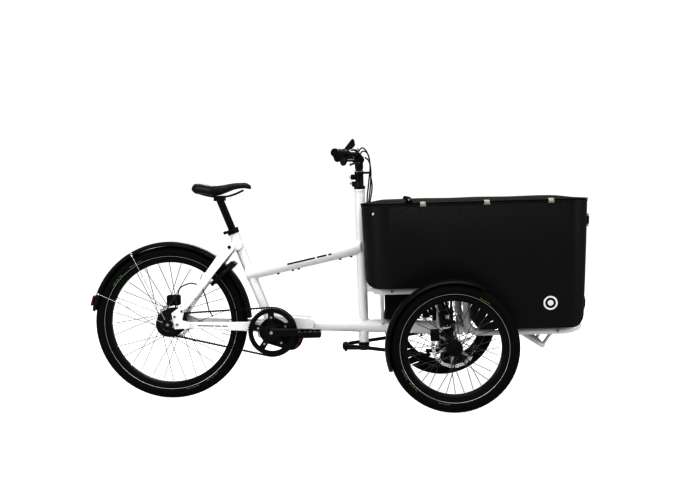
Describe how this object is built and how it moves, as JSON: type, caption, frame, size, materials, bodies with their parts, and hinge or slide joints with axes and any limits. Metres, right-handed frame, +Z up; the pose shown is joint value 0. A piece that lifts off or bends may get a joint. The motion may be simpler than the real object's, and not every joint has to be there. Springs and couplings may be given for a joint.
{
  "type": "cargo tricycle",
  "caption": "Tilting cargo cycle with a front box, belt drive, mid motor, linked front wheels and a tall steering column.",
  "frame": {"origin": "on the ground, midway along the overall length, on the centre line", "axes": "+X forward, +Y to the rider's left, +Z up"},
  "size_m": [2.1341, 0.88, 1.1103],
  "materials": {
    "frame_white": "gloss",
    "black_metal": "satin",
    "crank_black": "satin",
    "rim_black": "satin",
    "hub_alloy": "satin",
    "steel": "satin",
    "motor_black": "satin",
    "belt_rubber": "matte",
    "tyre_rubber": "matte",
    "grip_rubber": "matte",
    "guard_black": "satin",
    "box_black": "satin",
    "cover_cloth": "matte",
    "saddle_hide": "satin",
    "hose_black": "satin",
    "lamp_red": "gloss",
    "button_grey": "satin"
  },
  "bodies": {
    "frame": {"main_frame": "frame_white", "seat_stays": "frame_white", "dropout_plates": "black_metal", "rear_axle": "steel", "box_cradle": "frame_white", "frame_bolts": "steel", "motor_unit": "motor_black", "drive_belt": "belt_rubber", "rear_fender": "guard_black", "lamps": "lamp_red", "ring_lock": "black_metal", "rear_caliper": "black_metal", "battery_pack": "guard_black", "frame_cables": "hose_black", "seat_collar": "black_metal", "box_shell": "box_black", "box_hardware": "steel"},
    "rear_wheel": {"rear_tyre": "tyre_rubber", "rear_rim": "rim_black", "rear_hub": "hub_alloy"},
    "cog": {"rear_cog": "steel"},
    "crank": {"crankset": "crank_black", "belt_ring": "steel"},
    "right_pedal_body": {"right_pedal": "guard_black"},
    "left_pedal_body": {"left_pedal": "guard_black"},
    "seat": {"seatpost": "crank_black", "saddle": "saddle_hide"},
    "collar_lever": {"seat_lever": "black_metal"},
    "column": {"steering_column": "crank_black", "pitman_arm": "black_metal"},
    "bar": {"stem": "crank_black", "handlebar": "crank_black", "grips": "grip_rubber", "bar_controls": "guard_black", "bar_cables": "hose_black"},
    "shifter": {"twist_shifter": "grip_rubber"},
    "right_lever": {"right_brake_lever": "crank_black"},
    "left_lever": {"left_brake_lever": "crank_black"},
    "button": {"remote_button": "button_grey"},
    "shackle": {"lock_lever": "steel"},
    "door": {"box_door": "box_black"},
    "latch": {"door_latch": "guard_black"},
    "cover": {"box_cover": "cover_cloth"},
    "lower_arm": {"lower_cross_arm": "black_metal"},
    "upper_arm": {"upper_cross_arm": "black_metal"},
    "block": {"link_block": "black_metal"},
    "right_carrier": {"right_upright": "black_metal"},
    "right_steer": {"right_knuckle": "black_metal", "right_fender": "guard_black"},
    "right_wheel": {"right_tyre": "tyre_rubber", "right_rim": "rim_black", "right_hub": "hub_alloy"},
    "right_drag": {"right_link": "steel"},
    "left_carrier": {"left_upright": "black_metal"},
    "left_steer": {"left_knuckle": "black_metal", "left_fender": "guard_black"},
    "left_wheel": {"left_tyre": "tyre_rubber", "left_rim": "rim_black", "left_hub": "hub_alloy"},
    "left_drag": {"left_link": "steel"}
  },
  "joints": [
    {"name": "tilt", "type": "hinge", "parent": "frame", "child": "lower_arm", "pos_m": [0.472, 0, 0.2], "axis": [1, 0, 0], "range_deg": [-11, 11], "stiffness_Nm_per_rad": 900},
    {"name": "upper_tilt", "type": "hinge", "parent": "frame", "child": "upper_arm", "pos_m": [0.472, 0, 0.385], "axis": [1, 0, 0], "range_deg": [-11, 11]},
    {"name": "right_carrier_pivot", "type": "hinge", "parent": "lower_arm", "child": "right_carrier", "pos_m": [0.472, -0.262, 0.2], "axis": [1, 0, 0], "range_deg": [-11, 11]},
    {"name": "left_carrier_pivot", "type": "hinge", "parent": "lower_arm", "child": "left_carrier", "pos_m": [0.472, 0.262, 0.2], "axis": [1, 0, 0], "range_deg": [-11, 11]},
    {"name": "steering", "type": "hinge", "parent": "frame", "child": "column", "pos_m": [0.129, 0, 0.5], "axis": [0, 0, 1], "range_deg": [-18, 18]},
    {"name": "right_kingpin", "type": "hinge", "parent": "right_carrier", "child": "right_steer", "pos_m": [0.472, -0.3, 0.29], "axis": [0, 0, 1], "range_deg": [-18, 18]},
    {"name": "left_kingpin", "type": "hinge", "parent": "left_carrier", "child": "left_steer", "pos_m": [0.472, 0.3, 0.29], "axis": [0, 0, 1], "range_deg": [-18, 18]},
    {"name": "block_pivot", "type": "hinge", "parent": "column", "child": "block", "pos_m": [0.049, 0, 0.216], "axis": [0, 0, 1], "range_deg": [-18, 18]},
    {"name": "right_drag_pivot", "type": "hinge", "parent": "block", "child": "right_drag", "pos_m": [0.049, -0.025, 0.216], "axis": [1, 0, 0], "range_deg": [-11, 11]},
    {"name": "left_drag_pivot", "type": "hinge", "parent": "block", "child": "left_drag", "pos_m": [0.049, 0.025, 0.216], "axis": [1, 0, 0], "range_deg": [-11, 11]},
    {"name": "right_wheel_spin", "type": "hinge", "parent": "right_steer", "child": "right_wheel", "pos_m": [0.492, -0.4, 0.258], "axis": [0, 1, 0], "continuous": true},
    {"name": "left_wheel_spin", "type": "hinge", "parent": "left_steer", "child": "left_wheel", "pos_m": [0.492, 0.4, 0.258], "axis": [0, 1, 0], "continuous": true},
    {"name": "rear_wheel_spin", "type": "hinge", "parent": "frame", "child": "rear_wheel", "pos_m": [-0.713, 0, 0.3345], "axis": [0, 1, 0], "continuous": true},
    {"name": "crank_spin", "type": "hinge", "parent": "frame", "child": "crank", "pos_m": [-0.265, 0, 0.29], "axis": [0, 1, 0], "continuous": true},
    {"name": "cog_spin", "type": "hinge", "parent": "frame", "child": "cog", "pos_m": [-0.713, 0, 0.3345], "axis": [0, 1, 0], "continuous": true},
    {"name": "right_pedal_spin", "type": "hinge", "parent": "crank", "child": "right_pedal_body", "pos_m": [-0.0955, -0.146, 0.29], "axis": [0, 1, 0], "continuous": true},
    {"name": "left_pedal_spin", "type": "hinge", "parent": "crank", "child": "left_pedal_body", "pos_m": [-0.4345, 0.146, 0.29], "axis": [0, 1, 0], "continuous": true},
    {"name": "seat_height", "type": "slide", "parent": "frame", "child": "seat", "axis": [-0.3535, 0, 0.9354], "range_m": [-0.06, 0.08]},
    {"name": "collar_lever_turn", "type": "hinge", "parent": "frame", "child": "collar_lever", "pos_m": [-0.4595, -0.029, 0.721], "axis": [0.3535, 0, -0.9354], "range_deg": [0, 120]},
    {"name": "bar_height", "type": "slide", "parent": "column", "child": "bar", "axis": [0, 0, 1], "range_m": [0, 0.04]},
    {"name": "right_brake_pull", "type": "hinge", "parent": "bar", "child": "right_lever", "pos_m": [0.10733, -0.18685, 1.02089], "axis": [-0.6428, 0, -0.766], "range_deg": [0, 9], "stiffness_Nm_per_rad": 4, "springref_deg": -5.73},
    {"name": "left_brake_pull", "type": "hinge", "parent": "bar", "child": "left_lever", "pos_m": [0.10733, 0.18685, 1.02089], "axis": [0.6428, 0, 0.766], "range_deg": [0, 9], "stiffness_Nm_per_rad": 4, "springref_deg": -5.73},
    {"name": "shifter_twist", "type": "hinge", "parent": "bar", "child": "shifter", "pos_m": [0.07304, -0.20583, 1.04238], "axis": [0.2425, 0.9701, 0.0108], "range_deg": [-60, 60]},
    {"name": "assist_press", "type": "slide", "parent": "bar", "child": "button", "axis": [0.5, 0, -0.866], "range_m": [0, 0.001], "stiffness_N_per_m": 300},
    {"name": "door_swing", "type": "hinge", "parent": "frame", "child": "door", "pos_m": [1.05112, -0.208, 0.57], "axis": [-0.058, 0, -0.9983], "range_deg": [0, 100]},
    {"name": "latch_turn", "type": "hinge", "parent": "door", "child": "latch", "pos_m": [1.04686, 0.168, 0.6], "axis": [1, 0, 0], "range_deg": [0, 90]},
    {"name": "cover_lift", "type": "slide", "parent": "frame", "child": "cover", "axis": [0, 0, 1], "range_m": [0, 0.12]},
    {"name": "shackle_turn", "type": "hinge", "parent": "frame", "child": "shackle", "pos_m": [-0.47753, 0, 0.53919], "axis": [-0.6561, 0, 0.7547], "range_deg": [0, 60]}
  ],
  "couplings": [
    {"joint": "upper_tilt", "follows": "tilt", "ratio": 1},
    {"joint": "right_carrier_pivot", "follows": "tilt", "ratio": -1},
    {"joint": "left_carrier_pivot", "follows": "tilt", "ratio": -1},
    {"joint": "right_drag_pivot", "follows": "tilt", "ratio": 0.9527},
    {"joint": "left_drag_pivot", "follows": "tilt", "ratio": 0.9527},
    {"joint": "right_kingpin", "follows": "steering", "ratio": 1},
    {"joint": "left_kingpin", "follows": "steering", "ratio": 1},
    {"joint": "block_pivot", "follows": "steering", "ratio": -1},
    {"joint": "cog_spin", "follows": "crank_spin", "ratio": 2.5}
  ]
}
